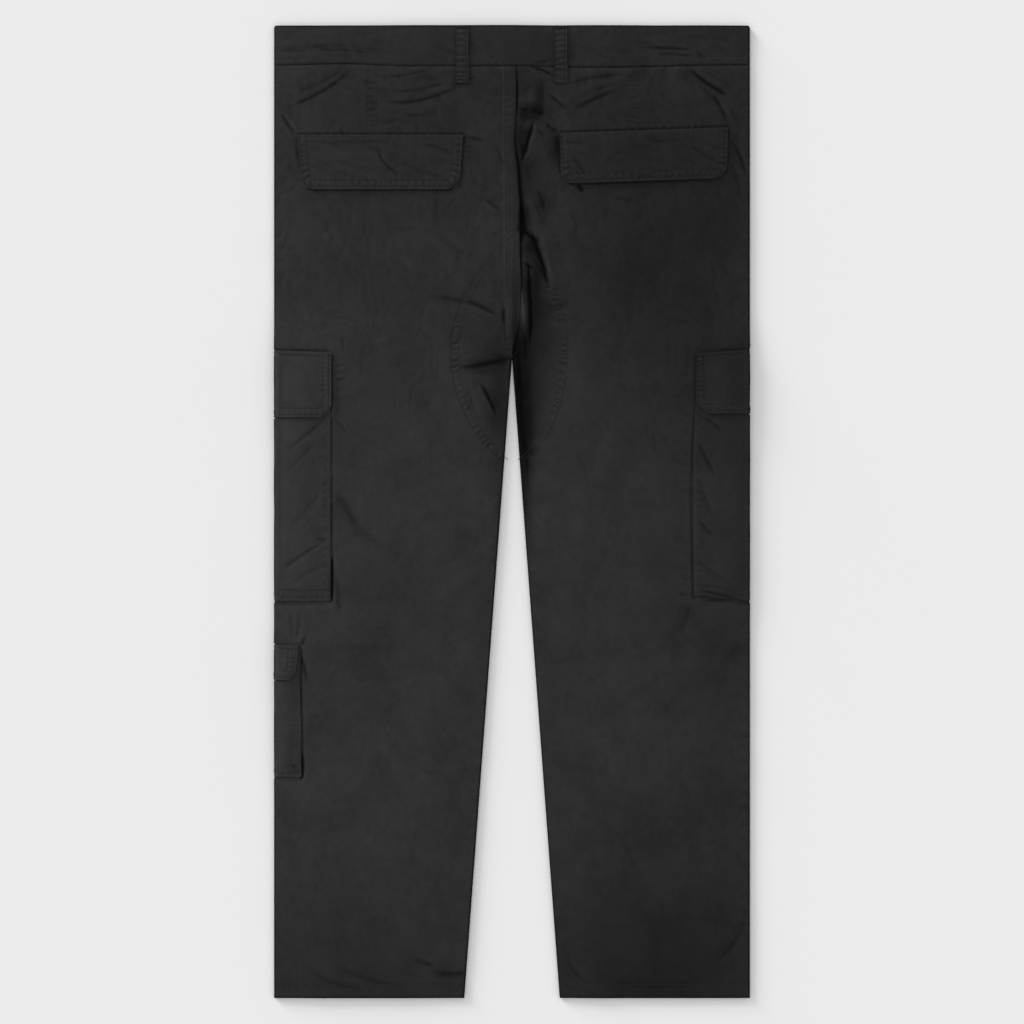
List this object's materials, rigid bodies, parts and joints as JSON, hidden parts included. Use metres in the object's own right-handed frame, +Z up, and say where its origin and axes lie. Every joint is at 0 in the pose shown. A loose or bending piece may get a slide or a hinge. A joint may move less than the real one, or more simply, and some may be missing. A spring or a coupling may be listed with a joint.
{
  "type": "cargo trousers laid flat",
  "caption": "Cotton cargo trousers laid flat with the back side up: straight legs, waistband with belt loops, flapped back pockets and pockets that wrap the outseams.",
  "frame": {"origin": "centre of the bounding box's underside, on the surface that the trousers lie on", "axes": "+Y towards the waist, +X to the wearer's right leg, +Z up out of the trousers' back side"},
  "size_m": [0.514, 1.05, 0.0153],
  "materials": {
    "twill": "matt charcoal-black cotton twill",
    "flap_twill": "the same twill, doubled and pressed",
    "thread": "black polyester sewing thread, slightly glossy",
    "button": "matt black plastic button"
  },
  "bodies": {
    "root": {"back_left": "twill", "back_right": "twill", "front_left": "twill", "front_right": "twill", "gusset_left": "twill", "gusset_right": "twill", "waistband_back": "twill", "waistband_front_left": "twill", "waistband_front_right": "twill", "belt_loop_back_left": "twill", "belt_loop_back_right": "twill", "belt_loop_front_left": "twill", "belt_loop_front_right": "twill", "back_flap_left": "flap_twill", "back_flap_right": "flap_twill", "cargo_pocket_left": "twill", "cargo_flap_left": "flap_twill", "cargo_pocket_right": "twill", "cargo_flap_right": "flap_twill", "calf_pocket_left": "twill", "calf_flap_left": "flap_twill", "waist_button": "button"}
  },
  "joints": []
}
